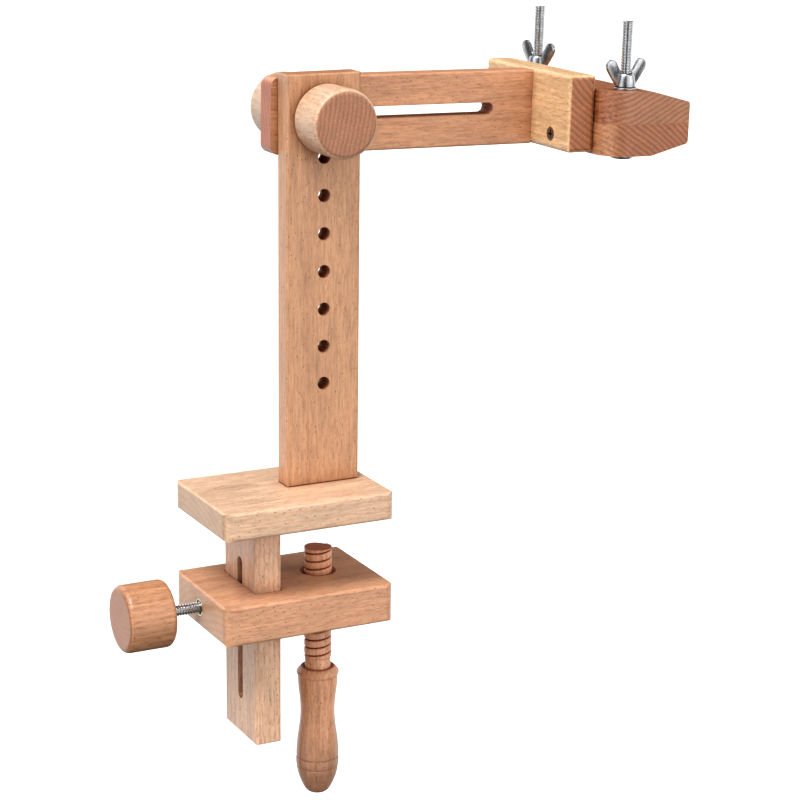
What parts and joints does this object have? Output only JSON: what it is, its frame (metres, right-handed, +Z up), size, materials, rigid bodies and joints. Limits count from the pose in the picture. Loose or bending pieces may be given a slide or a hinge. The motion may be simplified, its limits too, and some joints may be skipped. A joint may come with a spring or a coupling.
{
  "type": "table-clamp embroidery frame holder",
  "caption": "Wooden clamp-on table stand with an upright post, a tilting sliding arm and a wing-nut jaw that grips an embroidery hoop or frame.",
  "frame": {"origin": "centre of the upper plate's underside, the face that rests on the table top", "axes": "+Z up along the post, +X along the arm towards the jaws, +Y towards the back"},
  "size_m": [0.3106, 0.1201, 0.4218],
  "materials": {
    "beech_planed": "planed and oiled beech, satin",
    "beech_arm": "planed beech, a redder board, satin",
    "beech_turned": "turned beech, satin",
    "zinc_steel": "bright zinc-plated steel",
    "yellow_zinc": "yellow-passivated zinc threaded insert"
  },
  "bodies": {
    "stand": {"upper_plate": "beech_planed", "post": "beech_planed", "post_screws": "zinc_steel", "guide_bar": "beech_arm"},
    "lower_plate": {"lower_plate": "beech_planed", "plate_insert": "yellow_zinc"},
    "side_bolt": {"side_bolt": "zinc_steel"},
    "side_knob": {"side_knob": "beech_turned"},
    "clamp_spindle": {"clamp_spindle": "beech_turned"},
    "clamp_handle": {"clamp_handle": "beech_turned"},
    "front_knob": {"front_knob": "beech_turned", "arm_bolt": "zinc_steel"},
    "rear_insert": {"rear_insert": "yellow_zinc"},
    "rear_knob": {"rear_knob": "beech_turned"},
    "pivot_washer": {"pivot_washer": "zinc_steel"},
    "arm": {"arm": "beech_arm", "crossbar": "beech_planed", "crossbar_screws": "zinc_steel", "jaw_screws": "zinc_steel", "lower_jaw": "beech_arm", "jaw_bolt_front": "zinc_steel", "jaw_bolt_rear": "zinc_steel"},
    "upper_jaw": {"upper_jaw": "beech_arm", "jaw_washer_front": "zinc_steel", "jaw_washer_rear": "zinc_steel"},
    "wing_nut_front": {"wing_nut_front": "zinc_steel"},
    "wing_nut_rear": {"wing_nut_rear": "zinc_steel"}
  },
  "joints": [
    {"name": "plate_slide", "type": "slide", "parent": "stand", "child": "lower_plate", "axis": [0, 0, 1], "range_m": [-0.052, 0.021]},
    {"name": "side_bolt_travel", "type": "slide", "parent": "lower_plate", "child": "side_bolt", "axis": [-1, 0, 0], "range_m": [0, 0.006]},
    {"name": "side_knob_turn", "type": "hinge", "parent": "side_bolt", "child": "side_knob", "pos_m": [-0.067, 0.00225, -0.0465], "axis": [-1, 0, 0], "range_deg": [0, 2160]},
    {"name": "spindle_travel", "type": "slide", "parent": "lower_plate", "child": "clamp_spindle", "axis": [0, 0, -1], "range_m": [-0.0216, 0.0135]},
    {"name": "handle_turn", "type": "hinge", "parent": "clamp_spindle", "child": "clamp_handle", "pos_m": [0.021, 0.00225, -0.1], "axis": [0, 0, -1], "range_deg": [-1728, 1080]},
    {"name": "front_knob_turn", "type": "hinge", "parent": "stand", "child": "front_knob", "pos_m": [0.021, -0.004, 0.21], "axis": [0, -1, 0], "continuous": true},
    {"name": "rear_insert_travel", "type": "slide", "parent": "stand", "child": "rear_insert", "axis": [0, 1, 0], "range_m": [0, 0.006]},
    {"name": "rear_knob_turn", "type": "hinge", "parent": "rear_insert", "child": "rear_knob", "pos_m": [0.021, 0.0257, 0.21], "axis": [0, 1, 0], "range_deg": [0, 2160]},
    {"name": "arm_tilt", "type": "hinge", "parent": "stand", "child": "pivot_washer", "pos_m": [0.021, 0.01495, 0.21], "axis": [0, -1, 0], "range_deg": [-70, 90]},
    {"name": "arm_reach", "type": "slide", "parent": "pivot_washer", "child": "arm", "axis": [-0.9998, 0, 0.0175], "range_m": [0, 0.095]},
    {"name": "upper_jaw_lift", "type": "slide", "parent": "arm", "child": "upper_jaw", "axis": [0.0175, 0, 0.9998], "range_m": [0, 0.02]},
    {"name": "wing_nut_front_turn", "type": "hinge", "parent": "upper_jaw", "child": "wing_nut_front", "pos_m": [0.18524, -0.03055, 0.22214], "axis": [0.0175, 0, 0.9998], "range_deg": [0, 7200]},
    {"name": "wing_nut_rear_turn", "type": "hinge", "parent": "upper_jaw", "child": "wing_nut_rear", "pos_m": [0.18524, 0.06045, 0.22214], "axis": [0.0175, 0, 0.9998], "range_deg": [0, 7200]}
  ],
  "couplings": [
    {"joint": "side_bolt_travel", "follows": "side_knob_turn", "m_per_rad": 0.00015915},
    {"joint": "spindle_travel", "follows": "handle_turn", "m_per_rad": 0.0007162},
    {"joint": "rear_insert_travel", "follows": "rear_knob_turn", "m_per_rad": 0.00015915},
    {"joint": "upper_jaw_lift", "follows": "wing_nut_front_turn", "m_per_rad": 0.00015915},
    {"joint": "wing_nut_rear_turn", "follows": "wing_nut_front_turn", "ratio": 1}
  ]
}
